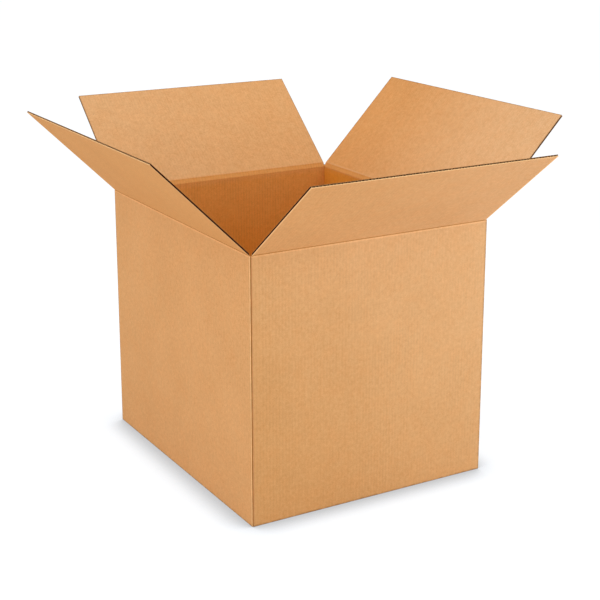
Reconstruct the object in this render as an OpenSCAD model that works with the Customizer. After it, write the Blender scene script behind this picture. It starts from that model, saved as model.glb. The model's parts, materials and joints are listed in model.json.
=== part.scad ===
// Open regular slotted carton in single-wall corrugated board.
// The origin is the centre of the underside, +Z is up, and the long walls lie at -X and +X.

/* [Carton] */
// Inside width, along X, between the two long walls
inside_width = 609.6; // [300:0.1:1000]
// Inside length, along Y, between the two short walls
inside_length = 711.2; // [620:0.1:1200]
// Inside height, from the inner bottom flaps to the crease of the top flaps
inside_height = 609.6; // [250:0.1:1000]

/* [Board] */
// Thickness of the board
board = 4; // [3:0.1:5]
// Thickness of each flat liner
liner = 0.4; // [0.2:0.05:0.6]
// Thickness of the fluted paper between the liners
medium = 0.3; // [0.2:0.05:0.5]
// Distance from one flute to the next
flute_pitch = 8; // [7:0.1:10]
// Share of the pitch over which a flute's tip lies glued to its liner
tip_share = 0.22; // [0.16:0.01:0.3]

/* [Scores and cuts] */
// Width of the crushed strip of a flap beside its crease
score_width = 9; // [7:0.5:16]
// Gap at the crease of a top flap
fold_gap = 0.3; // [0.2:0.05:0.6]
// Clearance between a flap's side edge and the wall beside it
slot_clearance = 0.3; // [0.2:0.05:1]
// Gap in the middle where two outer flaps meet
seam_gap = 1.5; // [0.5:0.1:6]
// Radius of the folded corners and bottom edges
fold_radius = 1.5; // [0.8:0.1:2.5]
// Depth of the open flute seen in a cut edge of the body
cut_flute_depth = 3; // [1:0.5:5]

/* [Glued joint] */
// Width of the glue tab inside the corner joint
tab_width = 35; // [20:1:50]
// Drop of the tab's upper end below the creases
tab_drop = 14; // [11:0.5:40]
// Drop of the tab's lower end to the inner bottom flap
tab_lift = 2; // [0.5:0.5:20]

/* [Top flaps] */
// Angle of the front flap outwards from upright, in degrees
front_angle = 51.5; // [5:0.5:90]
// Angle of the back flap outwards from upright, in degrees
back_angle = 49; // [5:0.5:90]
// Angle of the left flap outwards from upright, in degrees
left_angle = 45.5; // [5:0.5:90]
// Angle of the right flap outwards from upright, in degrees
right_angle = 44; // [5:0.5:90]

/* [Hidden] */

outer_kraft = [0.84, 0.62, 0.41];
body_kraft = [0.80, 0.57, 0.36];
fold_fn = 48;

// Two layers of glued flaps make the bottom.
bottom = 2 * board;
outer_width = inside_width + 2 * board;
outer_length = inside_length + 2 * board;
crease_height = bottom + inside_height;

// The outer flaps meet in the middle, and all eight flaps are cut to that depth.
flap_depth = (outer_width - seam_gap) / 2;
flap_inset = board + slot_clearance;
short_crease = outer_width - 2 * flap_inset;
long_crease = outer_length - 2 * flap_inset;

// Glued papers and boards are set into each other by this much.
glue_bite = medium / 6;
flute_rise = board - 2 * liner - medium + 2 * glue_bite;

// The open board runs on into the crushed strip by this much.
score_lap = board / 4;

// The scores round the rim are crushed down to here on the inside.
rim_drop = board + fold_gap;

// Cutters run past the board by this much.
past = board / 4;

// Places a child drawn upright on the front wall, or on the back wall, on its crease.
module on_short_wall(side) {
    rotate([0, 0, side > 0 ? 180 : 0])
        translate([0, -outer_length / 2, 0])
            children();
}

// Places a child drawn upright on the front wall on the left wall, or on the right wall.
module on_long_wall(side) {
    rotate([0, 0, side > 0 ? 90 : -90])
        translate([0, -outer_width / 2, 0])
            children();
}

// A solid with the profile given as [depth into the wall, height], along a wall of this length.
module along_wall(profile, length) {
    rotate([90, 0, 90])
        linear_extrude(length, center = true)
            polygon(profile);
}

// One edge of the fluted band, as [along the crease, through the board] points.
// The tips on the outer and inner liner have their own half lengths, so the band keeps its thickness.
function flute_edge(width, count, outer_tip, inner_tip, outer_y, inner_y) =
    let (pitch = width / count)
    [
        for (i = [0 : count])
            let (x = -width / 2 + i * pitch)
            each [
                if (i > 0) [x - inner_tip, inner_y],
                if (i == 0 || i == count) [x, inner_y],
                if (i < count) [x + inner_tip, inner_y],
                if (i < count) [x + pitch / 2 - outer_tip, outer_y],
                if (i < count) [x + pitch / 2 + outer_tip, outer_y]
            ]
    ];

function reversed(points) = [for (i = [len(points) - 1 : -1 : 0]) points[i]];

// The fluted paper, seen along its flutes, from liner to liner.
module fluted_band(width) {
    count = round(width / flute_pitch);
    tip = tip_share * width / count / 2;
    flank_run = width / count / 2 - 2 * tip;
    flank_angle = atan(flute_rise / flank_run);
    tip_shift = medium / 2 * tan(flank_angle / 2);
    outer_y = liner - glue_bite;
    inner_y = outer_y + flute_rise;
    near_edge = flute_edge(width, count, tip + tip_shift, tip - tip_shift, outer_y, inner_y);
    far_edge = flute_edge(width, count, tip - tip_shift, tip + tip_shift,
                          outer_y + medium, inner_y + medium);
    polygon(concat(near_edge, reversed(far_edge)));
}

// A top flap, drawn standing upright on a crease at the origin, its outer face on the XZ plane.
// Past the crushed strip the board is open at its free edge and shows its flutes there.
module flap_board(width) {
    open_start = score_width - score_lap;
    open_length = flap_depth - open_start;
    translate([0, 0, open_start]) {
        linear_extrude(open_length)
            translate([-width / 2, 0])
                square([width, liner]);
        linear_extrude(open_length)
            fluted_band(width);
        linear_extrude(open_length)
            translate([-width / 2, board - liner])
                square([width, liner]);
    }
    along_wall([
        [0, fold_gap],
        [board, fold_gap + board],
        [board, score_width],
        [0, score_width]
    ], width);
}

// A top flap on its wall, folded out by its lean.
module top_flap(width, lean) {
    color(outer_kraft)
        translate([0, 0, crease_height])
            rotate([lean, 0, 0])
                flap_board(width);
}

// What a fold of this length cuts off an edge along Z, whose board lies towards +X and +Y.
module fold_cut(length, beside = past) {
    difference() {
        translate([-beside, -past, -past])
            cube([fold_radius + beside, fold_radius + past, length + 2 * past]);
        translate([fold_radius, fold_radius, -2 * past])
            cylinder(length + 4 * past, r = fold_radius, $fn = fold_fn);
    }
}

// The space between two walls that stand this far apart, as an [across, height] section.
// It opens out to the rim over the crushed scores.
function space_section(apart) =
    let (
        half = apart / 2,
        high_half = half + board + past,
        score_foot = crease_height - rim_drop,
        high = crease_height + past * rim_drop / board
    )
    [
        [-half, -past],
        [half, -past],
        [half, score_foot],
        [high_half, high],
        [-high_half, high],
        [-half, score_foot]
    ];

// The space inside all four walls.
module inner_space() {
    intersection() {
        along_wall(space_section(inside_length), outer_width + 2 * past);
        rotate([0, 0, 90])
            along_wall(space_section(inside_width), outer_length + 2 * past);
    }
}

// The four walls, folded from one strip of board that starts and ends at the front left corner.
module walls() {
    left = -outer_width / 2;
    front = -outer_length / 2;
    difference() {
        translate([left, front, 0])
            cube([outer_width, outer_length, crease_height]);
        inner_space();
        // The three plain upright folds.
        for (corner = [[1, -1, 90], [1, 1, 180], [-1, 1, 270]])
            translate([corner.x * outer_width / 2, corner.y * outer_length / 2, 0])
                rotate([0, 0, corner.z])
                    fold_cut(crease_height);
        // The joint, where the front wall folds in behind the long wall's cut edge.
        translate([left + board, front, 0])
            fold_cut(crease_height, 0);
        translate([left + liner, front - past, -past])
            cube([board - 2 * liner, cut_flute_depth + past, crease_height + 2 * past]);
        // The folds along the bottom.
        for (side = [-1, 1]) {
            on_short_wall(side)
                bottom_fold_cut(outer_width);
            on_long_wall(side)
                bottom_fold_cut(outer_length);
        }
    }
}

// The same cut laid along the foot of a wall of this length.
module bottom_fold_cut(length) {
    translate([-length / 2, 0, 0])
        rotate([90, 0, 90])
            fold_cut(length);
}

// The bottom flaps: the inner pair lies glued on the outer pair, which meets in the middle.
// The inner pair's free edges are open to the inside and show the hollow between their liners.
module bottom_flaps() {
    for (side = [-1, 1]) {
        on_long_wall(side)
            translate([-long_crease / 2, fold_radius, 0])
                cube([long_crease, flap_depth - fold_radius, board]);
        on_short_wall(side)
            difference() {
                translate([-short_crease / 2, fold_radius, board - glue_bite])
                    cube([short_crease, flap_depth - fold_radius, board + glue_bite]);
                translate([-short_crease / 2 - past, flap_depth - cut_flute_depth, board + liner])
                    cube([short_crease + 2 * past, cut_flute_depth + past, board - 2 * liner]);
            }
    }
}

// The end of the front wall, folded in and glued to the inside of the left wall.
module glue_tab() {
    taper = tab_width / 4;
    top = crease_height - tab_drop;
    foot = bottom + tab_lift;
    root = board / 2;
    translate([-outer_width / 2 + board - glue_bite, -outer_length / 2 + root, 0])
        rotate([90, 0, 90])
            linear_extrude(board + glue_bite)
                polygon([
                    [0, foot],
                    [root + tab_width, foot + taper],
                    [root + tab_width, top - taper],
                    [0, top]
                ]);
}

module carton_body() {
    color(body_kraft) {
        walls();
        bottom_flaps();
        glue_tab();
    }
}

module flap_front() {
    on_short_wall(-1)
        top_flap(short_crease, front_angle);
}

module flap_back() {
    on_short_wall(1)
        top_flap(short_crease, back_angle);
}

module flap_left() {
    on_long_wall(-1)
        top_flap(long_crease, left_angle);
}

module flap_right() {
    on_long_wall(1)
        top_flap(long_crease, right_angle);
}

carton_body();
flap_front();
flap_back();
flap_left();
flap_right();
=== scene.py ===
"""Open slotted carton: the kraft board's finish, the scored creases of the top flaps and the studio.

Sizes are in metres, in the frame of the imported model. +Z is up, and the front wall faces -Y.
"""

import json
import math

import bpy
import numpy as np
from mathutils import Euler, Matrix, Vector


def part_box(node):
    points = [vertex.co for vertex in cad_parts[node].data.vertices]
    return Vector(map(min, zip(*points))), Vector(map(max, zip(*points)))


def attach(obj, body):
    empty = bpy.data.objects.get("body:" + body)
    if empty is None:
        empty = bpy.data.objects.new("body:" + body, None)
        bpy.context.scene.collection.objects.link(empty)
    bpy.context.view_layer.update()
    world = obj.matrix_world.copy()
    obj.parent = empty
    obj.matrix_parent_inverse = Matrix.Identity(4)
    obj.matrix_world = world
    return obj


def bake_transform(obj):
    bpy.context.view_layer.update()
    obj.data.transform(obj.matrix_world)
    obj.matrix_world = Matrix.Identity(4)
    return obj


bl_info = {
    "name": "Open Slotted Carton",
    "version": (1, 0, 0),
    "blender": (4, 5, 0),
    "location": "View3D > Sidebar > Carton",
    "description": "Finishes a corrugated carton with four hinged top flaps",
    "category": "Object",
}

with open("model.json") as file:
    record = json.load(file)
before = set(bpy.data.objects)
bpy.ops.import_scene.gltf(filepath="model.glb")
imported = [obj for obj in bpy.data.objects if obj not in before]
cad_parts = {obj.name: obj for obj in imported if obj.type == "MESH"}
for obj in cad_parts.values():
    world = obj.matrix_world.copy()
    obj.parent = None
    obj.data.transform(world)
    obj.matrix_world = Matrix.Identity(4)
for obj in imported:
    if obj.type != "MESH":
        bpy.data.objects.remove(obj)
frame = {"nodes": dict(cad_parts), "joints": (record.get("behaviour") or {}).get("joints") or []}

MM = 0.001

BODY_LOW, BODY_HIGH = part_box("carton_body")
OUTER_WIDTH = BODY_HIGH.x - BODY_LOW.x
OUTER_LENGTH = BODY_HIGH.y - BODY_LOW.y
CREASE_HEIGHT = BODY_HIGH.z

# Each side's turn about Z from the front, and how far its wall stands from the middle.
SIDES = {
    "front": (0.0, OUTER_LENGTH / 2),
    "right": (math.pi / 2, OUTER_WIDTH / 2),
    "back": (math.pi, OUTER_LENGTH / 2),
    "left": (-math.pi / 2, OUTER_WIDTH / 2),
}

# A hinge's lower limit is the closed flap, a right angle inwards from upright.
LEANS = {
    joint["name"].removesuffix("_fold"): -math.radians(joint["range_deg"][0] + 90)
    for joint in frame["joints"]
}

# Painted sheen and shade: these factors on the liner's colour make the paper paler where the lamps'
# sheen falls and deeper away from it. They are for the two ends of each top flap, and for the front
# and back walls at the bottom left and the top right.
FLAP_SHEEN_AND_SHADE_TONES = {
    "front": ((1.0, 1.0, 1.0), (1.03, 1.10, 1.25)),
    "back": ((0.99, 1.0, 1.0), (0.96, 1.02, 1.12)),
    "left": ((1.03, 0.99, 0.88), (1.03, 0.99, 0.88)),
    "right": ((1.06, 1.19, 1.42), (0.97, 0.89, 0.75)),
}
SHORT_WALL_SHEEN_AND_SHADE_TONES = ((0.89, 0.88, 0.81), (1.02, 1.12, 1.28))

# Kraft stains brown, so its blue varies more than its red. The painted shade in a score's fold is
# browned the same way, its blue darkening most.
MOTTLE_STAIN = (0.75, 1.0, 1.5)
SCORE_SHADE_TINT = (-0.75, -1.0, -1.3)
WARM_TINT = (1.02, 0.987, 0.955, 1)

# Painted shade inside the carton: the inner liner's colour deepens from and to these depths below the
# crease, by these shares.
INSIDE_SHADES = (
    (-5.8 * MM, -4.4 * MM, 0.45),
    (3.5 * MM, 24 * MM, 0.2),
    (14 * MM, 300 * MM, 0.35),
)
# Painted shade: the long walls' inner faces are deeper all over by this share.
LONG_WALL_SHADE = 0.35
# The flutes show this many times more strongly in the painted shade.
SHADED_FLUTES = 2.4

PAPER_GLOSS = 0.04

# The band beside a cut, and how much of the liner's colour is left on rough and on fluted paper.
KNIFE_BAND = 3.5 * MM
CUT_PAPER_SHARE = 0.5
FLUTED_PAPER_SHARE = 0.45

# The colour that an effect starts from, until a finish gives it another.
PLAIN_KRAFT = (0.70, 0.35, 0.15, 1)

# The bottom flaps are equally deep, and the outer ones meet in the middle but for this gap.
SEAM_GAP = 1.5 * MM

FLOOR_REACH = 14.0
FLOOR_DROP = 0.3 * MM
# The floor's colour as it lights the carton, and as the camera sees it in the shade.
FLOOR_COLOR = (0.86, 0.86, 0.86, 1)
SHADOW_COLOR = (0.18, 0.22, 0.27, 1)
LAMP_PLACES = {
    "right": (1.4, -2.6, 0.8),
    "left": (-2.6, -0.8, 2.0),
    "top": (0, 0, 4.5),
}
LAMP_SIZE = 2.4
LAMP_AIM = Vector((0, 0, 0.5))


def side_matrix(side):
    """From a side's own frame to the model's: x along its crease, y into the carton, z up."""
    turn, distance = SIDES[side]
    place = Matrix.Translation((0, -distance, CREASE_HEIGHT))
    return Matrix.Rotation(turn, 4, "Z") @ place


def flap_point(side, depth, reach):
    """A point of the leaning flap in its side's section, by depth through the board and reach."""
    cos, sin = math.cos(LEANS[side]), math.sin(LEANS[side])
    return Vector((depth * cos - reach * sin, depth * sin + reach * cos))


def crease_length(side):
    """The length of a side's crease, which is the width of its flap."""
    low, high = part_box("flap_" + side)
    return high.x - low.x if side in ("front", "back") else high.y - low.y


# The kinds of settings in the panel.
def color_setting(name, description, default):
    return bpy.props.FloatVectorProperty(
        name=name, description=description, subtype="COLOR", size=3, min=0, max=1, default=default
    )


def length_setting(name, description, default, low, high):
    return bpy.props.FloatProperty(
        name=name, description=description, unit="LENGTH", default=default, min=low, max=high
    )


def share_setting(name, description, default, high):
    return bpy.props.FloatProperty(
        name=name, description=description, subtype="FACTOR", default=default, min=0, max=high
    )


def power_setting(name, description, default):
    return bpy.props.FloatProperty(
        name=name, description=description, subtype="POWER", default=default, min=0, max=1000
    )


class BoardSettings(bpy.types.PropertyGroup):
    """The corrugated board: its papers' colours and its flutes."""

    liner: color_setting("Liner", "Colour of the kraft liners", (0.690, 0.364, 0.151))
    # Painted shade: the inner liner's colour where shade and bounced light fall down inside the carton.
    shaded_liner: color_setting(
        "Shaded Liner", "Colour of the inner liner down inside the carton", (0.76, 0.325, 0.044)
    )
    cut_liner: color_setting("Cut Liner", "Colour of a liner's pale cut edge", (0.95, 0.60, 0.29))
    # Painted shade: this near-black colour stands for the shade in the hollow flutes, not the fluted
    # paper's own colour.
    medium: color_setting(
        "Medium", "Colour of the fluted paper inside the board", (0.045, 0.006, 0.001)
    )
    joint: color_setting("Joint", "Colour of the glued joint's raw edge", (0.45, 0.22, 0.045))
    thickness: length_setting("Thickness", "Thickness of the board", 4 * MM, 2 * MM, 8 * MM)
    liner_thickness: length_setting(
        "Liner Thickness", "Thickness of one liner", 0.4 * MM, 0.2 * MM, 1 * MM
    )
    flute_pitch: length_setting(
        "Flute Pitch", "Distance from one flute to the next", 8 * MM, 3 * MM, 12 * MM
    )
    mottling: share_setting("Mottling", "How strongly the paper's tone varies", 0.9, 2)
    flute_shade: share_setting(
        "Flute Shade", "How strongly the flutes show through the liners", 0.05, 0.5
    )


class CreaseSettings(bpy.types.PropertyGroup):
    """The scored folds of the top flaps."""

    gap: length_setting(
        "Gap", "Gap at the crease between the wall and the flap", 0.3 * MM, 0.1 * MM, 1 * MM
    )
    reach: length_setting(
        "Reach",
        "How far the folded liner runs on over the wall and the flap",
        9 * MM,
        6 * MM,
        20 * MM,
    )
    proud: length_setting("Proud", "Height of the bulge beside the score", 0.12 * MM, 0, 0.5 * MM)
    dent: share_setting(
        "Dent", "How deep the score presses the liner in towards the crease", 0.12, 0.7
    )


class StageSettings(bpy.types.PropertyGroup):
    """The studio: the camera, the light and the floor."""

    camera_place: bpy.props.FloatVectorProperty(
        name="Camera",
        description="Where the camera stands",
        subtype="TRANSLATION",
        unit="LENGTH",
        size=3,
        default=(-1.6237, -2.8253, 1.3975),
    )
    camera_aim: bpy.props.FloatVectorProperty(
        name="Aim",
        description="The direction in which the camera looks",
        subtype="DIRECTION",
        size=3,
        default=(0.48609, 0.83502, -0.25781),
    )
    lens: bpy.props.FloatProperty(
        name="Lens",
        description="Focal length in millimetres, on a 36 mm wide sensor",
        default=83.65,
        min=20,
        max=300,
    )
    camera_shift: bpy.props.FloatProperty(
        name="Shift",
        description="Upright shift of the lens, as a share of the picture's width",
        default=-0.1,
        min=-0.3,
        max=0.3,
    )
    sky: bpy.props.FloatProperty(
        name="Sky",
        description="Strength of the even light from all round",
        default=0.8,
        min=0,
        max=2,
    )
    right_power: power_setting(
        "Right Lamp", "Power of the large soft lamp low on the right in front", 24
    )
    left_power: power_setting("Left Lamp", "Power of the large soft lamp on the left", 21)
    top_power: power_setting("Top Lamp", "Power of the large soft lamp overhead", 29)
    floor_lift: bpy.props.FloatProperty(
        name="Floor Lift",
        description="How far the floor is lifted to white where the camera sees it",
        default=0.86,
        min=0,
        max=1,
    )
    contact_reach: length_setting(
        "Contact Shadow",
        "How far the soft dark line on the floor reaches out from the carton",
        85 * MM,
        10 * MM,
        500 * MM,
    )


class Graph:
    """A node tree with short calls that add nodes and join them."""

    def __init__(self, tree):
        self.tree = tree

    @classmethod
    def group(cls, name, inputs, outputs):
        """A new node group. inputs and outputs are (name, kind, default), and a default may be None."""
        tree = bpy.data.node_groups.new(name, "ShaderNodeTree")
        for in_out, sockets in (("INPUT", inputs), ("OUTPUT", outputs)):
            for socket_name, kind, default in sockets:
                socket = tree.interface.new_socket(
                    socket_name, in_out=in_out, socket_type="NodeSocket" + kind
                )
                if default is not None:
                    socket.default_value = default
        graph = cls(tree)
        graph.inputs = tree.nodes.new("NodeGroupInput").outputs
        graph.outputs = tree.nodes.new("NodeGroupOutput").inputs
        return graph

    @classmethod
    def material(cls, name):
        """A new material with nothing but its output node."""
        material = bpy.data.materials.new(name)
        material.use_nodes = True
        material.node_tree.nodes.clear()
        graph = cls(material.node_tree)
        graph.made = material
        graph.outputs = graph.tree.nodes.new("ShaderNodeOutputMaterial").inputs
        return graph

    def feed(self, socket, value):
        """Joins an output to a socket, or sets the socket to a plain value."""
        if isinstance(value, bpy.types.NodeSocket):
            self.tree.links.new(value, socket)
        else:
            socket.default_value = value

    def add(self, kind, inputs=None, **settings):
        """Adds a node, with its settings and what goes into its inputs."""
        node = self.tree.nodes.new("ShaderNode" + kind)
        for name, value in settings.items():
            setattr(node, name, value)
        for name, value in (inputs or {}).items():
            self.feed(node.inputs[name], value)
        return node

    def use(self, group, **inputs):
        """Places a node group; an input's name has underscores for its spaces."""
        node = self.add("Group", node_tree=group)
        for name, value in inputs.items():
            self.feed(node.inputs[name.replace("_", " ")], value)
        return node.outputs

    def math(self, operation, *values, clamp=False):
        """One step of arithmetic on numbers."""
        node = self.add("Math", operation=operation, use_clamp=clamp)
        for socket, value in zip(node.inputs, values):
            self.feed(socket, value)
        return node.outputs[0]

    def vector_math(self, operation, *values):
        """One step of arithmetic on vectors or colours."""
        node = self.add("VectorMath", operation=operation)
        for socket, value in zip(node.inputs, values):
            self.feed(socket, value)
        return node.outputs[0]

    def fade(self, value, low, high, to_low=0.0, to_high=1.0):
        """A smooth change from one value to another, between low and high."""
        node = self.add("MapRange", interpolation_type="SMOOTHSTEP")
        for name, number in (
            ("Value", value),
            ("From Min", low),
            ("From Max", high),
            ("To Min", to_low),
            ("To Max", to_high),
        ):
            self.feed(node.inputs[name], number)
        return node.outputs["Result"]

    def mix(self, factor, first, second, blend="MIX"):
        """Mixes two colours."""
        node = self.add("Mix", {"Factor": factor}, data_type="RGBA", blend_type=blend)
        return self.mixed(node, "Color", first, second)

    def pick(self, factor, first, second):
        """Mixes two numbers."""
        node = self.add("Mix", {"Factor": factor}, data_type="FLOAT")
        return self.mixed(node, "Float", first, second)

    def mixed(self, node, kind, first, second):
        """What a Mix node makes of the two values."""
        # Its sockets of all kinds have the same few names, so identifiers tell them apart.
        sockets = {socket.identifier: socket for socket in (*node.inputs, *node.outputs)}
        self.feed(sockets["A_" + kind], first)
        self.feed(sockets["B_" + kind], second)
        return sockets["Result_" + kind]

    def noise(self, vector, scale, detail, roughness):
        """A noise about 0.5."""
        node = self.add(
            "TexNoise",
            {"Vector": vector, "Scale": scale, "Detail": detail, "Roughness": roughness},
        )
        return node.outputs[0]

    def tone(self, color, shade):
        """Multiplies a colour by a number."""
        grey = self.add("CombineXYZ", {"X": shade, "Y": shade, "Z": shade}).outputs[0]
        return self.vector_math("MULTIPLY", color, grey)


def opaque(color):
    """A property's colour with full alpha, for a socket."""
    return (*color, 1.0)


def toned(color, *tone):
    """The colour with a factor on each of its parts, or one factor on all three."""
    factors = tone * 3 if len(tone) == 1 else tone
    return opaque([part * factor for part, factor in zip(color, factors)])


def kraft_group():
    """Kraft liner: clouds, mottling, fibres along the sheet and a few dark specks, on a base colour."""
    graph = Graph.group(
        "Kraft Paper",
        [
            ("Vector", "Vector", None),
            ("Base", "Color", PLAIN_KRAFT),
            ("Mottling", "Float", 0.5),
            ("Specks", "Float", 1.0),
        ],
        [("Color", "Color", None), ("Roughness", "Float", None), ("Height", "Float", None)],
    )
    vector, base, mottling, specks = (graph.inputs[i] for i in range(4))
    clouds = graph.noise(vector, 7.0, 3.0, 0.55)
    mottle = graph.noise(vector, 120.0, 4.0, 0.65)
    grain = graph.noise(vector, 620.0, 2.0, 0.6)
    along_sheet = graph.vector_math("MULTIPLY", vector, (240.0, 240.0, 1900.0))
    fibres = graph.noise(along_sheet, 1.0, 3.0, 0.7)

    swing = 0.0
    for variation, weight in ((clouds, 0.18), (mottle, 0.46), (grain, 0.60), (fibres, 0.18)):
        about_zero = graph.math("SUBTRACT", variation, 0.5)
        swing = graph.math("MULTIPLY_ADD", about_zero, weight, swing)
    channel_tint = graph.vector_math(
        "MULTIPLY_ADD", graph.math("MULTIPLY", swing, mottling), MOTTLE_STAIN, (1, 1, 1)
    )
    warm = graph.noise(vector, 34.0, 3.0, 0.6)
    tinted = graph.mix(
        graph.math("MULTIPLY", graph.fade(warm, 0.35, 0.7), mottling),
        base,
        graph.mix(1.0, base, WARM_TINT, "MULTIPLY"),
    )
    stained = graph.vector_math("MULTIPLY", tinted, channel_tint)

    cells = graph.add("TexVoronoi", {"Vector": vector, "Scale": 13.0})
    draw = graph.add("SeparateColor", {"Color": cells.outputs["Color"]}).outputs[0]
    chosen = graph.math("GREATER_THAN", draw, 0.35)
    spot = graph.fade(cells.outputs["Distance"], 0.012, 0.022, 1.0, 0.0)
    strength = graph.math("MULTIPLY", specks, 0.45)
    spot = graph.math("MULTIPLY", graph.math("MULTIPLY", spot, chosen), strength)
    graph.feed(graph.outputs["Color"], graph.mix(spot, stained, graph.tone(base, 0.35)))

    graph.feed(graph.outputs["Roughness"], graph.math("MULTIPLY_ADD", grain, 0.16, 0.74, clamp=True))
    height = graph.math("MULTIPLY", graph.math("SUBTRACT", fibres, 0.5), 0.03 * MM)
    height = graph.math("MULTIPLY_ADD", graph.math("SUBTRACT", mottle, 0.5), 0.10 * MM, height)
    graph.feed(graph.outputs["Height"], height)
    return graph.tree


def flute_group():
    """The flutes under a liner: fine dark lines over their tips, partly their glue and partly painted
    shade of the ripple they press into the liner, and the slight rise of the surface.
    """
    graph = Graph.group(
        "Flute Lines",
        [
            ("Along", "Float", 0.0),
            ("Pitch", "Float", 8 * MM),
            ("Vector", "Vector", None),
        ],
        [("Line", "Float", None), ("Height", "Float", None)],
    )
    along, pitch, vector = (graph.inputs[i] for i in range(3))
    turns = graph.math("DIVIDE", along, pitch)
    wave = graph.math("COSINE", graph.math("MULTIPLY", turns, 2 * math.pi))
    patches = graph.fade(graph.noise(vector, 9.0, 2.0, 0.5), 0.3, 0.72, 0.25, 1.0)
    line = graph.math("POWER", graph.math("MULTIPLY_ADD", wave, 0.5, 0.5), 2.0)
    graph.feed(graph.outputs["Line"], graph.math("MULTIPLY", line, patches))
    graph.feed(graph.outputs["Height"], graph.math("MULTIPLY", wave, -0.02 * MM))
    return graph.tree


def score_shade_group():
    """Painted shade and highlight at a scored fold: a dark line of painted shade in the fold, and a
    paler band past it, a painted highlight where the score's bulge would catch the light.
    """
    graph = Graph.group(
        "Score Line",
        [
            ("Color", "Color", PLAIN_KRAFT),
            ("Distance", "Float", 0.0),
            ("Line", "Float", 1 * MM),
            ("Band", "Float", 4 * MM),
            ("Dark", "Float", 0.3),
            ("Pale", "Float", 0.08),
        ],
        [("Color", "Color", None)],
    )
    color, distance, line, band, dark, pale = (graph.inputs[i] for i in range(6))
    near = graph.fade(distance, graph.math("MULTIPLY", line, 0.5), line, 1.0, 0.0)
    beside = graph.math(
        "MULTIPLY",
        graph.math("SUBTRACT", 1.0, near),
        graph.fade(distance, graph.math("MULTIPLY", band, 0.6), band, 1.0, 0.0),
    )
    channel_tint = graph.vector_math(
        "MULTIPLY_ADD", graph.math("MULTIPLY", near, dark), SCORE_SHADE_TINT, (1, 1, 1)
    )
    lit = graph.tone(color, graph.math("MULTIPLY_ADD", beside, pale, 1.0))
    graph.feed(graph.outputs["Color"], graph.vector_math("MULTIPLY", lit, channel_tint))
    return graph.tree


def cut_group():
    """A cut through the board: its pale liners, and between them the fluted paper in the Medium colour,
    which is painted shade of the hollow flutes except at the glued joint.
    """
    graph = Graph.group(
        "Cut Edge",
        [
            ("Color", "Color", PLAIN_KRAFT),
            ("Depth", "Float", 0.0),
            ("Board", "Float", 4 * MM),
            ("Liner", "Float", 0.4 * MM),
            ("Cut", "Float", 0.0),
            ("Pale", "Color", (0.86, 0.53, 0.27, 1)),
            ("Medium", "Color", (0.16, 0.065, 0.026, 1)),
            ("Vector", "Vector", None),
        ],
        [("Color", "Color", None), ("Inside", "Float", None)],
    )
    color, depth, board, liner, cut, pale, medium, vector = (graph.inputs[i] for i in range(8))
    from_face = graph.math("MINIMUM", depth, graph.math("SUBTRACT", board, depth))
    inside = graph.fade(
        from_face, graph.math("MULTIPLY", liner, 0.85), graph.math("MULTIPLY", liner, 1.8)
    )
    torn = graph.noise(vector, 2600.0, 3.0, 0.7)
    pale_edge = graph.tone(pale, graph.math("MULTIPLY_ADD", torn, 0.5, 0.75))
    rough_medium = graph.tone(medium, graph.math("MULTIPLY_ADD", torn, 0.9, 0.55))
    edged = graph.mix(cut, color, pale_edge)
    graph.feed(graph.outputs["Color"], graph.mix(inside, edged, rough_medium))
    graph.feed(graph.outputs["Inside"], inside)
    return graph.tree


def edge_patch_group():
    """Patches along folds and edges: paler paper, or darker with a negative amount. On the body's folds
    and foot the darkening is painted shade.
    """
    graph = Graph.group(
        "Edge Rub",
        [
            ("Color", "Color", PLAIN_KRAFT),
            ("Distance", "Float", 0.0),
            ("Width", "Float", 3 * MM),
            ("Amount", "Float", 0.1),
            ("Vector", "Vector", None),
        ],
        [("Color", "Color", None)],
    )
    color, distance, width, amount, vector = (graph.inputs[i] for i in range(5))
    patch = graph.fade(graph.noise(vector, 55.0, 4.0, 0.7), 0.3, 0.62)
    edge_band = graph.math("MULTIPLY", graph.fade(distance, 0.0, width, 1.0, 0.0), patch)
    shade = graph.math("MULTIPLY_ADD", edge_band, amount, 1.0)
    graph.feed(graph.outputs["Color"], graph.tone(color, shade))
    return graph.tree


def shader_group(name):
    """The effect of that name, built on its first use."""
    makers = {
        "Kraft Paper": kraft_group,
        "Flute Lines": flute_group,
        "Score Line": score_shade_group,
        "Cut Edge": cut_group,
        "Edge Rub": edge_patch_group,
    }
    return bpy.data.node_groups.get(name) or makers[name]()


def board_shader(graph, color, roughness, height):
    """The Principled shader that all board finishes end in."""
    bump = graph.add("Bump", {"Strength": 1.0, "Distance": 1.0, "Height": height})
    shader = graph.add(
        "BsdfPrincipled",
        {
            "Base Color": color,
            "Roughness": roughness,
            "Specular IOR Level": PAPER_GLOSS,
            "Normal": bump.outputs[0],
        },
    )
    graph.feed(graph.outputs["Surface"], shader.outputs[0])
    return graph.made


def fluted_paper(graph, point, along, base, board, shade=1.0, specks=1.0, grain_point=None):
    """Kraft paper with its flutes showing through: both effects' outputs, and the lined colour."""
    paper = graph.use(
        shader_group("Kraft Paper"),
        Vector=grain_point or point,
        Base=base,
        Mottling=board.mottling,
        Specks=specks,
    )
    flutes = graph.use(
        shader_group("Flute Lines"), Along=along, Pitch=board.flute_pitch, Vector=point
    )
    lines = graph.math("MULTIPLY_ADD", flutes["Line"], -shade * board.flute_shade, 1.0)
    return paper, flutes, graph.tone(paper["Color"], lines)


def inside_shade(graph, below_crease):
    """How far the inner liner has its painted shade, from the crease down to the bottom."""
    shade = 0.0
    for start, end, share in INSIDE_SHADES:
        shade = graph.math("ADD", shade, graph.fade(below_crease, start, end, 0.0, share))
    return shade


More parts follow.
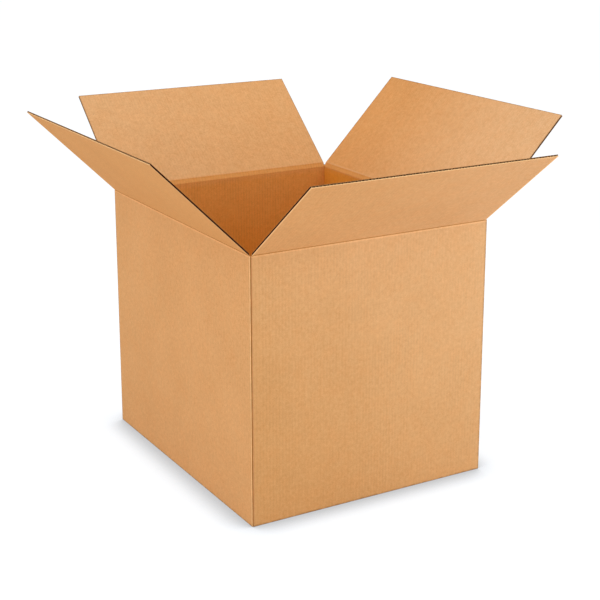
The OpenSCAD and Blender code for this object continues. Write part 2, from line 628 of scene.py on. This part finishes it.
def shaded_paper(graph, paper, flutes, board):
    """The inner liner's colour in painted shade, with the same flutes under it."""
    deeper = opaque([deep / plain for deep, plain in zip(board.shaded_liner, board.liner)])
    return graph.tone(
        graph.mix(1.0, paper["Color"], deeper, "MULTIPLY"),
        graph.math("MULTIPLY_ADD", flutes["Line"], -SHADED_FLUTES * board.flute_shade, 1.0),
    )


def short_wall_sheen_and_shade(graph, x, z, board):
    """The liner's colour on the front and back walls, with painted sheen and shade: paler towards the
    top right.
    """
    # Added up, the two run from -0.5 at the bottom left to 1.5 at the top right.
    across, up = graph.math("DIVIDE", x, OUTER_WIDTH), graph.math("DIVIDE", z, CREASE_HEIGHT)
    shaded_tone, sheen_tone = (toned(board.liner, *tone) for tone in SHORT_WALL_SHEEN_AND_SHADE_TONES)
    return graph.mix(graph.fade(graph.math("ADD", across, up), -0.5, 1.5), shaded_tone, sheen_tone)


def body_shade_and_highlight(graph, color, point, from_left_right, from_front_back):
    """Painted shade along the body's upright folds and its foot, and a painted highlight on the left
    wall beside the joint.
    """
    x, y, z = graph.add("SeparateXYZ", {"Vector": point}).outputs
    edge_toned = graph.use(
        shader_group("Edge Rub"),
        Color=color,
        Distance=graph.math("MINIMUM", graph.math("MAXIMUM", from_left_right, from_front_back), z),
        Width=6 * MM,
        Amount=-0.45,
        Vector=point,
    )
    from_joint = graph.math("MAXIMUM", from_left_right, graph.math("ADD", y, OUTER_LENGTH / 2))
    beside_joint = graph.fade(from_joint, 1.2 * MM, 3.2 * MM, 1.0, 0.0)
    beside_joint = graph.math("MULTIPLY", beside_joint, graph.math("LESS_THAN", x, 0.0))
    return graph.tone(edge_toned["Color"], graph.math("MULTIPLY_ADD", beside_joint, 0.38, 1.0))


def body_cuts(graph, color, point, from_outside, board):
    """The raw edges of the body: the long wall's at the corner joint, and the bottom flaps' inside."""
    x, y, z = graph.add("SeparateXYZ", {"Vector": point}).outputs
    # The joint is at the front on the left.
    joint_depth = graph.math("ADD", x, OUTER_WIDTH / 2)
    at_joint = graph.math(
        "MULTIPLY",
        graph.math("LESS_THAN", joint_depth, board.thickness),
        graph.math("LESS_THAN", graph.math("ADD", y, OUTER_LENGTH / 2), KNIFE_BAND),
    )
    # The bottom flaps' edges show on their second layer, towards the middle.
    flap_depth = graph.math("SUBTRACT", z, board.thickness)
    second_layer = graph.math("GREATER_THAN", flap_depth, 0.5 * board.liner_thickness)
    at_bottom = graph.math(
        "MULTIPLY",
        graph.math("MULTIPLY", second_layer, graph.math("LESS_THAN", flap_depth, board.thickness)),
        graph.math("GREATER_THAN", from_outside, 2 * board.thickness),
    )
    cut = graph.math("MAXIMUM", at_joint, at_bottom)
    return graph.use(
        shader_group("Cut Edge"),
        Color=color,
        Depth=graph.pick(cut, -1.0, graph.pick(at_joint, flap_depth, joint_depth)),
        Board=board.thickness,
        Liner=board.liner_thickness,
        Cut=graph.math("MULTIPLY", at_joint, 0.5),
        Pale=opaque(board.cut_liner),
        # The bottom flaps' cut is dark with the painted shade of the hollow flutes; the joint has its
        # raw edge's colour.
        Medium=graph.mix(at_joint, opaque(board.medium), opaque(board.joint)),
        Vector=point,
    )


def body_material(board):
    """The finish of the walls and the bottom, whose flutes stand upright and run on underneath."""
    graph = Graph.material("Walls of the Carton")
    place = graph.add("TexCoord")
    point = place.outputs["Object"]
    x, y, z = graph.add("SeparateXYZ", {"Vector": point}).outputs
    normal_x, _, normal_z = graph.add("SeparateXYZ", {"Vector": place.outputs["Normal"]}).outputs
    # The flutes count along Y on the left and right walls, and on the outer layer of the bottom.
    faces_side = graph.math("GREATER_THAN", graph.math("ABSOLUTE", normal_x), 0.5)
    level = graph.math("GREATER_THAN", graph.math("ABSOLUTE", normal_z), 0.5)
    outer_layer = graph.math("LESS_THAN", z, 1.5 * board.thickness)
    shows_y = graph.math("MAXIMUM", faces_side, graph.math("MULTIPLY", level, outer_layer))

    from_left_right = graph.math("SUBTRACT", OUTER_WIDTH / 2, graph.math("ABSOLUTE", x))
    from_front_back = graph.math("SUBTRACT", OUTER_LENGTH / 2, graph.math("ABSOLUTE", y))
    from_outside = graph.math("MINIMUM", from_left_right, from_front_back)
    outer_face = graph.math("LESS_THAN", from_outside, board.thickness / 2)
    inner_face = graph.math("SUBTRACT", 1.0, outer_face)
    base = graph.mix(
        graph.pick(outer_face, 1.0, faces_side),
        short_wall_sheen_and_shade(graph, x, z, board),
        opaque(board.liner),
    )
    along = graph.pick(shows_y, x, y)
    paper, flutes, lined = fluted_paper(graph, point, along, base, board)

    below_crease = graph.math("SUBTRACT", CREASE_HEIGHT, z)
    # Painted shade on the inner faces, deeper below the crease and on the long walls.
    shade = inside_shade(graph, below_crease)
    shade = graph.math("MULTIPLY_ADD", faces_side, LONG_WALL_SHADE, shade)
    shaded = graph.mix(
        graph.math("MULTIPLY", inner_face, shade),
        lined,
        shaded_paper(graph, paper, flutes, board),
    )
    # Painted shade in the fold, and a painted highlight on the band below it. Only the outer faces have
    # the line: it is a metre off on the inner ones.
    scored = graph.use(
        shader_group("Score Line"),
        Color=shaded,
        Distance=graph.math("ADD", below_crease, inner_face),
        Line=1.3 * MM,
        Band=5.5 * MM,
        Dark=0.5,
        Pale=0.17,
    )
    edge_toned = body_shade_and_highlight(graph, scored["Color"], point, from_left_right, from_front_back)
    edged = body_cuts(graph, edge_toned, point, from_outside, board)
    height = graph.math("ADD", paper["Height"], flutes["Height"])
    roughness = graph.pick(edged["Inside"], paper["Roughness"], 1.0)
    return board_shader(graph, edged["Color"], roughness, height)


def flap_coordinates(graph, side):
    """Along the flap's crease, through the board and up from the crease."""
    turn, _ = SIDES[side]
    to_flap = graph.add(
        "Mapping",
        {
            "Vector": graph.add("TexCoord").outputs["Object"],
            "Location": side_matrix(side).translation,
            "Rotation": Euler((LEANS[side], 0, turn)),
        },
        vector_type="TEXTURE",
    )
    return to_flap.outputs[0]


def flap_reach(side, board):
    """How far a flap reaches from its crease."""
    _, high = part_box("flap_" + side)
    rise = high.z - CREASE_HEIGHT - board.thickness * math.sin(LEANS[side])
    return rise / math.cos(LEANS[side])


def flap_cuts(graph, color, point, half_width, reach_end, board):
    """The raw edges of a flap, paler and darker in patches along them and cut: dark between the liners
    with painted shade of the hollow flutes, and bare at the free edge.
    """
    along, depth, reach = graph.add("SeparateXYZ", {"Vector": point}).outputs
    from_end = graph.math("SUBTRACT", half_width, graph.math("ABSOLUTE", along))
    from_free_edge = graph.math("SUBTRACT", reach_end, reach)
    from_edge = graph.math("MINIMUM", from_end, from_free_edge)
    pale = opaque(board.cut_liner)
    dull = toned(board.liner, CUT_PAPER_SHARE)
    # The cut bares a wide pale line on the outer face and a narrow one on the inner face, which is
    # darker near the edge.
    bared = graph.fade(depth, 0.0, board.thickness, KNIFE_BAND, 0.3 * MM)
    edge_paper = graph.mix(graph.fade(depth, 0.02 * MM, 0.1 * MM), pale, dull)
    # Painted light and shade in the open flutes at the free edge: the fluted paper is pale where light
    # would fall in, for longer on the outer liner's side, and dark deeper in.
    lit_reach = graph.fade(
        depth, 0.2 * board.thickness, 0.6 * board.thickness, 10 * MM, 0.6 * MM
    )
    edge_toned = graph.use(
        shader_group("Edge Rub"),
        Color=color,
        Distance=from_edge,
        Width=KNIFE_BAND,
        Amount=graph.fade(depth, 0.0, board.thickness, 0.45, -0.5),
        Vector=point,
    )
    edged = graph.use(
        shader_group("Cut Edge"),
        Color=edge_toned["Color"],
        Depth=depth,
        Board=board.thickness,
        Liner=board.liner_thickness,
        Cut=graph.fade(from_edge, graph.math("MULTIPLY", bared, 0.4), bared, 1.0, 0.0),
        Pale=edge_paper,
        Medium=graph.mix(
            graph.fade(from_free_edge, 0.0, lit_reach), pale, opaque(board.medium)
        ),
        Vector=point,
    )
    at_free_edge = graph.math("LESS_THAN", from_free_edge, 0.08 * MM)
    past_liner = graph.fade(depth, board.liner_thickness, 1.2 * board.liner_thickness)
    ended = graph.mix(at_free_edge, edged["Color"], graph.mix(past_liner, pale, dull))
    return ended, edged["Inside"]


def flap_material(side, board):
    """The finish of a top flap, in the flap's own coordinates."""
    graph = Graph.material(f"{side.capitalize()} Flap")
    point = flap_coordinates(graph, side)
    along, depth, reach = graph.add("SeparateXYZ", {"Vector": point}).outputs
    half_width = crease_length(side) / 2
    # Painted sheen and shade: the flap's colour changes from one end to the other, as the light on it
    # does.
    ends = [toned(board.liner, *tone) for tone in FLAP_SHEEN_AND_SHADE_TONES[side]]
    base = graph.mix(graph.fade(along, -half_width, half_width), *ends)
    # Each flap has its own stretch of grain.
    grain_point = graph.vector_math("ADD", point, tuple(side_matrix(side).translation))
    paper, flutes, lined = fluted_paper(
        graph, point, along, base, board, grain_point=grain_point
    )
    # Painted shade: a dark line along the flap's root at the crease.
    scored = graph.use(
        shader_group("Score Line"),
        Color=lined,
        Distance=graph.math("SUBTRACT", reach, depth),
        Line=2.6 * MM,
        Band=7 * MM,
        Dark=0.75,
        Pale=0.0,
    )
    color, inside = flap_cuts(
        graph, scored["Color"], point, half_width, flap_reach(side, board), board
    )
    height = graph.math("ADD", paper["Height"], flutes["Height"])
    return board_shader(graph, color, graph.pick(inside, paper["Roughness"], 1.0), height)


def crease_material(board):
    """The liner where it folds over a score. Its UV map is along and across the crease, in metres."""
    graph = Graph.material("Scored Liner")
    sheet = graph.add("UVMap", uv_map="Sheet").outputs[0]
    along, across, _ = graph.add("SeparateXYZ", {"Vector": sheet}).outputs
    point = graph.add("CombineXYZ", {"X": along, "Y": 0.0, "Z": across}).outputs[0]
    paper, flutes, lined = fluted_paper(
        graph, point, along, opaque(board.liner), board, shade=1.5, specks=0.0
    )
    # Painted shade on the inner side of the fold.
    shaded = graph.mix(
        inside_shade(graph, graph.math("MULTIPLY", across, -1.0)),
        lined,
        shaded_paper(graph, paper, flutes, board),
    )
    # The fold's dark line of painted shade lies a little up the flap.
    scored = graph.use(
        shader_group("Score Line"),
        Color=shaded,
        Distance=graph.math("ABSOLUTE", graph.math("SUBTRACT", across, 3.4 * MM)),
        Line=1.8 * MM,
        Band=8 * MM,
        Dark=0.08,
        Pale=0.0,
    )
    height = graph.math("MULTIPLY_ADD", flutes["Height"], 2.0, paper["Height"])
    return board_shader(graph, scored["Color"], paper["Roughness"], height)


def medium_material(board):
    """The bare fluted paper."""
    graph = Graph.material("Fluted Paper")
    paper = graph.use(
        shader_group("Kraft Paper"),
        Vector=graph.add("TexCoord").outputs["Object"],
        Base=toned(board.liner, FLUTED_PAPER_SHARE),
        Mottling=1.0,
        Specks=0.0,
    )
    return board_shader(graph, paper["Color"], paper["Roughness"], paper["Height"])


def finish_node(name, material):
    """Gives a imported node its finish."""
    slots = frame["nodes"][name].data.materials
    slots.clear()
    slots.append(material)


def sheet_object(name, grid, uv, closed, material):
    """A mesh from a grid of points, whose rows are its sections, open or closed loops of points."""
    rows, columns = grid.shape[:2]
    faces = []
    for row in range(0, (rows - 1) * columns, columns):
        for column in range(columns if closed else columns - 1):
            near, far = row + column, row + (column + 1) % columns
            faces.append((near, far, far + columns, near + columns))
    if closed:
        faces.append(tuple(reversed(range(columns))))
        faces.append(tuple(range((rows - 1) * columns, rows * columns)))
    mesh = bpy.data.meshes.new(name)
    mesh.from_pydata(grid.reshape(-1, 3).tolist(), [], faces)
    layer = mesh.uv_layers.new(name="Sheet")
    flat_uv = uv.reshape(-1, 2)
    for loop in mesh.loops:
        layer.data[loop.index].uv = flat_uv[loop.vertex_index]
    mesh.validate()
    mesh.update()
    mesh.polygons.foreach_set("use_smooth", [True] * len(mesh.polygons))
    mesh.set_sharp_from_angle(angle=math.radians(40))
    mesh.materials.append(material)
    piece = bpy.data.objects.new(name, mesh)
    bpy.context.scene.collection.objects.link(piece)
    return piece


def curve_through(points, count):
    """Points along the cubic curve with these four control points."""
    first, second, third, last = (np.array(point) for point in points)
    t = np.linspace(0, 1, count)[:, None]
    rest = 1 - t
    return rest**3 * first + 3 * rest**2 * t * second + 3 * rest * t**2 * third + t**3 * last


def offset_line(line, distances):
    """The line moved to its right-hand side by each point's distance."""
    run = np.gradient(line, axis=0)
    run /= np.linalg.norm(run, axis=1)[:, None]
    return line + np.stack([run[:, 1], -run[:, 0]], axis=1) * distances[:, None]


def crease_strip(name, side, section, thickness, material):
    """A strip of liner along a crease, from its section, which runs up from the wall to the flap."""
    # The strip thins towards its two long edges, and a negative thickness lays it on the other side.
    taper = np.minimum(1, np.linspace(0, 1, len(section)) * 6)
    taper = np.minimum(taper, taper[::-1])
    behind = offset_line(section, -thickness * (0.2 + 0.8 * taper))
    loop = np.concatenate([section, behind[::-1]])
    steps = np.linalg.norm(np.diff(section, axis=0), axis=1)
    across = np.concatenate([[0], np.cumsum(steps)])
    across -= across[np.argmin(np.linalg.norm(section, axis=1))]
    across = np.concatenate([across, across[::-1]])

    length = crease_length(side)
    stations = np.linspace(-length / 2, length / 2, 1 + round(length / (20 * MM)))
    grid = np.empty((len(stations), len(loop), 3))
    grid[..., 0] = stations[:, None]
    grid[..., 1:] = loop[None]
    uv = np.empty((len(stations), len(loop), 2))
    uv[..., 0] = stations[:, None]
    uv[..., 1] = across[None]
    strip = sheet_object(name, grid, uv, True, material)
    strip.data.transform(side_matrix(side))
    return strip


def bend_across(strip):
    """Bakes the strip's place into its mesh."""
    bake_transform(strip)


def seen_by_camera(graph):
    """1 for the rays that show the background: the camera's, and those off gloss or through glass."""
    rays = graph.add("LightPath").outputs
    mirrored = graph.math("MAXIMUM", rays["Is Glossy Ray"], rays["Is Transmission Ray"])
    return graph.math("MAXIMUM", rays["Is Camera Ray"], mirrored)


class CARTON_OT_stage(bpy.types.Operator):
    """Set up the floor, the light and the camera"""

    bl_idname = "carton.stage"
    bl_label = "Studio"

    def execute(self, context):
        stage = context.scene.carton_stage
        context.scene.view_settings.view_transform = "Standard"
        self.make_floor(stage)
        self.make_light(context.scene, stage)
        self.make_camera(context.scene, stage)
        return {"FINISHED"}

    @staticmethod
    def make_floor(stage):
        """A pale floor that the camera sees as white, but for the shade along the carton's foot: partly
        its real shadow, and partly a painted shadow.
        """
        ends = (-FLOOR_REACH, FLOOR_REACH)
        grid = np.array([[(x, y, -FLOOR_DROP) for x in ends] for y in ends])
        graph = Graph.material("Pale Floor")
        seen = seen_by_camera(graph)
        # Painted shadow: near the carton the ambient occlusion cuts the floor's lift to white.
        open_sky = graph.add("AmbientOcclusion", {"Distance": stage.contact_reach}).outputs["AO"]
        lift = graph.fade(open_sky, 0.45, 1.0, 0.5 * stage.floor_lift, stage.floor_lift)
        lift = graph.math("MULTIPLY", lift, graph.fade(open_sky, 0.1, 0.3))
        shader = graph.add(
            "BsdfPrincipled",
            {
                "Base Color": graph.mix(seen, FLOOR_COLOR, SHADOW_COLOR),
                "Roughness": 0.9,
                "Specular IOR Level": 0.0,
                "Emission Color": (1, 1, 1, 1),
                "Emission Strength": graph.math("MULTIPLY", seen, lift),
            },
        )
        graph.feed(graph.outputs["Surface"], shader.outputs[0])
        floor = sheet_object("floor", grid, grid[..., :2], False, graph.made)

    @staticmethod
    def make_light(scene, stage):
        """An even sky, which the camera sees as white, and three large soft lamps."""
        world = bpy.data.worlds.new("Studio")
        world.use_nodes = True
        world.node_tree.nodes.clear()
        graph = Graph(world.node_tree)
        seen = seen_by_camera(graph)
        strength = graph.pick(seen, stage.sky, 1.0)
        sky = graph.add("Background", {"Color": (1, 1, 1, 1), "Strength": strength})
        output = graph.tree.nodes.new("ShaderNodeOutputWorld")
        graph.feed(output.inputs["Surface"], sky.outputs[0])
        scene.world = world

        for name, place in LAMP_PLACES.items():
            light = bpy.data.lights.new(f"{name}_lamp", "AREA")
            light.shape = "DISK"
            light.size = LAMP_SIZE
            light.energy = getattr(stage, f"{name}_power")
            lamp = bpy.data.objects.new(f"{name}_lamp", light)
            lamp.location = place
            aim = LAMP_AIM - lamp.location
            lamp.rotation_euler = aim.to_track_quat("-Z", "Y").to_euler()
            scene.collection.objects.link(lamp)

    @staticmethod
    def make_camera(scene, stage):
        """A camera with a long lens, which is shifted a little so that uprights lean less."""
        data = bpy.data.cameras.new("camera")
        data.sensor_width = 36.0
        data.lens = stage.lens
        data.shift_y = stage.camera_shift
        data.clip_end = 100.0
        camera = bpy.data.objects.new("camera", data)
        camera.location = stage.camera_place
        camera.rotation_euler = Vector(stage.camera_aim).to_track_quat("-Z", "Y").to_euler()
        scene.collection.objects.link(camera)
        scene.camera = camera


class CARTON_OT_walls(bpy.types.Operator):
    """Finish the four walls and the glued bottom"""

    bl_idname = "carton.walls"
    bl_label = "Walls and Bottom"

    def execute(self, context):
        finish_node("carton_body", body_material(context.scene.carton_board))
        return {"FINISHED"}


class CARTON_OT_flaps(bpy.types.Operator):
    """Finish the four top flaps, with their open flutes"""

    bl_idname = "carton.flaps"
    bl_label = "Top Flaps"

    def execute(self, context):
        for side in SIDES:
            finish_node("flap_" + side, flap_material(side, context.scene.carton_board))
        return {"FINISHED"}


class CARTON_OT_creases(bpy.types.Operator):
    """Fold the liners over the four scored creases, inside and outside"""

    bl_idname = "carton.creases"
    bl_label = "Creases"

    def execute(self, context):
        board, crease = context.scene.carton_board, context.scene.carton_crease
        material = crease_material(board)
        for side in SIDES:
            self.fold_inside(side, board, crease, material)
            self.fold_outside(side, board, crease, material)
        return {"FINISHED"}

    @staticmethod
    def fold_inside(side, board, crease, material):
        """The inner liner runs up the wall, dips in over the score and runs on over the flap."""
        thick, proud = board.thickness, crease.proud
        corner = thick + crease.gap
        past_corner = corner + 0.2 * MM
        halfway = (crease.reach + corner) / 2
        sunk = 0.05 * MM
        wall = [
            Vector((thick - sunk, -crease.reach)),
            Vector((thick + 0.4 * proud, -halfway)),
            Vector((thick + proud, -past_corner)),
        ]
        flap = [
            flap_point(side, thick + proud, past_corner),
            flap_point(side, thick + 0.4 * proud, halfway),
            flap_point(side, thick - sunk, crease.reach),
        ]
        # The two middle control points pull the fold in towards the crease.
        depth, reach = thick * (1 - crease.dent / 6), corner * (1 - 0.7 * crease.dent)
        pulled = [Vector((depth, -reach)), flap_point(side, depth, reach)]
        fold = curve_through([wall[-1], *pulled, flap[0]], 19)
        section = np.concatenate([np.array(wall[:-1]), fold, np.array(flap[1:])])
        strip = crease_strip(f"crease_inside_{side}", side, section, 0.3 * MM, material)
        tucks_under = side in ("front", "back")
        if tucks_under:
            bend_across(strip)
        else:
            bend_across(strip)

    @staticmethod
    def fold_outside(side, board, crease, material):
        """The outer liner bridges the crease straight across, so it stays clear of a closed flap."""
        behind, lap = 0.02 * MM, 0.25 * MM
        low = Vector((behind, -lap))
        high = flap_point(side, behind, crease.gap + lap)
        section = np.array([low, low.lerp(high, 0.3), low.lerp(high, 0.7), high])
        strip = crease_strip(f"crease_outside_{side}", side, section, -0.12 * MM, material)
        bend_across(strip)


class CARTON_OT_bottom_flutes(bpy.types.Operator):
    """Add the fluted paper in the open edges of the inner bottom flaps"""

    bl_idname = "carton.bottom_flutes"
    bl_label = "Bottom Flutes"

    def execute(self, context):
        board = context.scene.carton_board
        material = medium_material(board)
        for side in ("front", "back"):
            self.make_flutes(side, board, material)
        return {"FINISHED"}

    @staticmethod
    def make_flutes(side, board, material):
        """One band of fluted paper, in the hollow along an inner bottom flap's free edge."""
        width = crease_length(side)
        count = round(width / board.flute_pitch)
        steps = 10
        along = np.linspace(-width / 2, width / 2, count * steps + 1)
        turns = (along + width / 2) / width * count
        middle = 1.5 * board.thickness
        swing = board.thickness / 2 - board.liner_thickness - 0.1 * MM
        rise = middle + swing * np.clip(1.25 * np.cos(2 * math.pi * turns), -1, 1)
        free_edge = (OUTER_WIDTH - SEAM_GAP) / 2
        inner, outer = free_edge - 3.1 * MM, free_edge - 0.1 * MM
        half_paper = 0.125 * MM
        corners = [
            (inner, half_paper),
            (outer, half_paper),
            (outer, -half_paper),
            (inner, -half_paper),
        ]
        grid = np.empty((len(along), len(corners), 3))
        for column, (reach, lift) in enumerate(corners):
            grid[:, column, 0] = along
            grid[:, column, 1] = reach
            grid[:, column, 2] = rise + lift - CREASE_HEIGHT
        uv = grid[..., :2].copy()
        strip = sheet_object(f"bottom_flutes_{side}", grid, uv, True, material)
        strip.data.transform(side_matrix(side))
        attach(strip, "carton")


class CARTON_PT_panel(bpy.types.Panel):
    """The carton's pieces, in the order in which they are made"""

    bl_idname = "CARTON_PT_panel"
    bl_label = "Carton"
    bl_space_type = "VIEW_3D"
    bl_region_type = "UI"
    bl_category = "Carton"

    def draw(self, context):
        layout = self.layout
        for operator in OPERATORS:
            layout.operator(operator.bl_idname)
        for settings in SETTINGS:
            box = layout.box()
            group = getattr(context.scene, settings)
            for name in group.bl_rna.properties.keys():
                if name not in ("rna_type", "name"):
                    box.prop(group, name)


OPERATORS = (
    CARTON_OT_stage,
    CARTON_OT_walls,
    CARTON_OT_flaps,
    CARTON_OT_creases,
    CARTON_OT_bottom_flutes,
)
SETTINGS = {
    "carton_board": BoardSettings,
    "carton_crease": CreaseSettings,
    "carton_stage": StageSettings,
}


def register():
    for cls in (*SETTINGS.values(), *OPERATORS, CARTON_PT_panel):
        bpy.utils.register_class(cls)
    for name, group in SETTINGS.items():
        setattr(bpy.types.Scene, name, bpy.props.PointerProperty(type=group))


def unregister():
    for name in SETTINGS:
        delattr(bpy.types.Scene, name)
    for cls in reversed((*SETTINGS.values(), *OPERATORS, CARTON_PT_panel)):
        bpy.utils.unregister_class(cls)


def main():
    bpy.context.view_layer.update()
    register()
    bpy.ops.carton.stage()
    bpy.ops.carton.walls()
    bpy.ops.carton.flaps()
    bpy.ops.carton.creases()
    bpy.ops.carton.bottom_flutes()


if __name__ == "__main__":
    main()
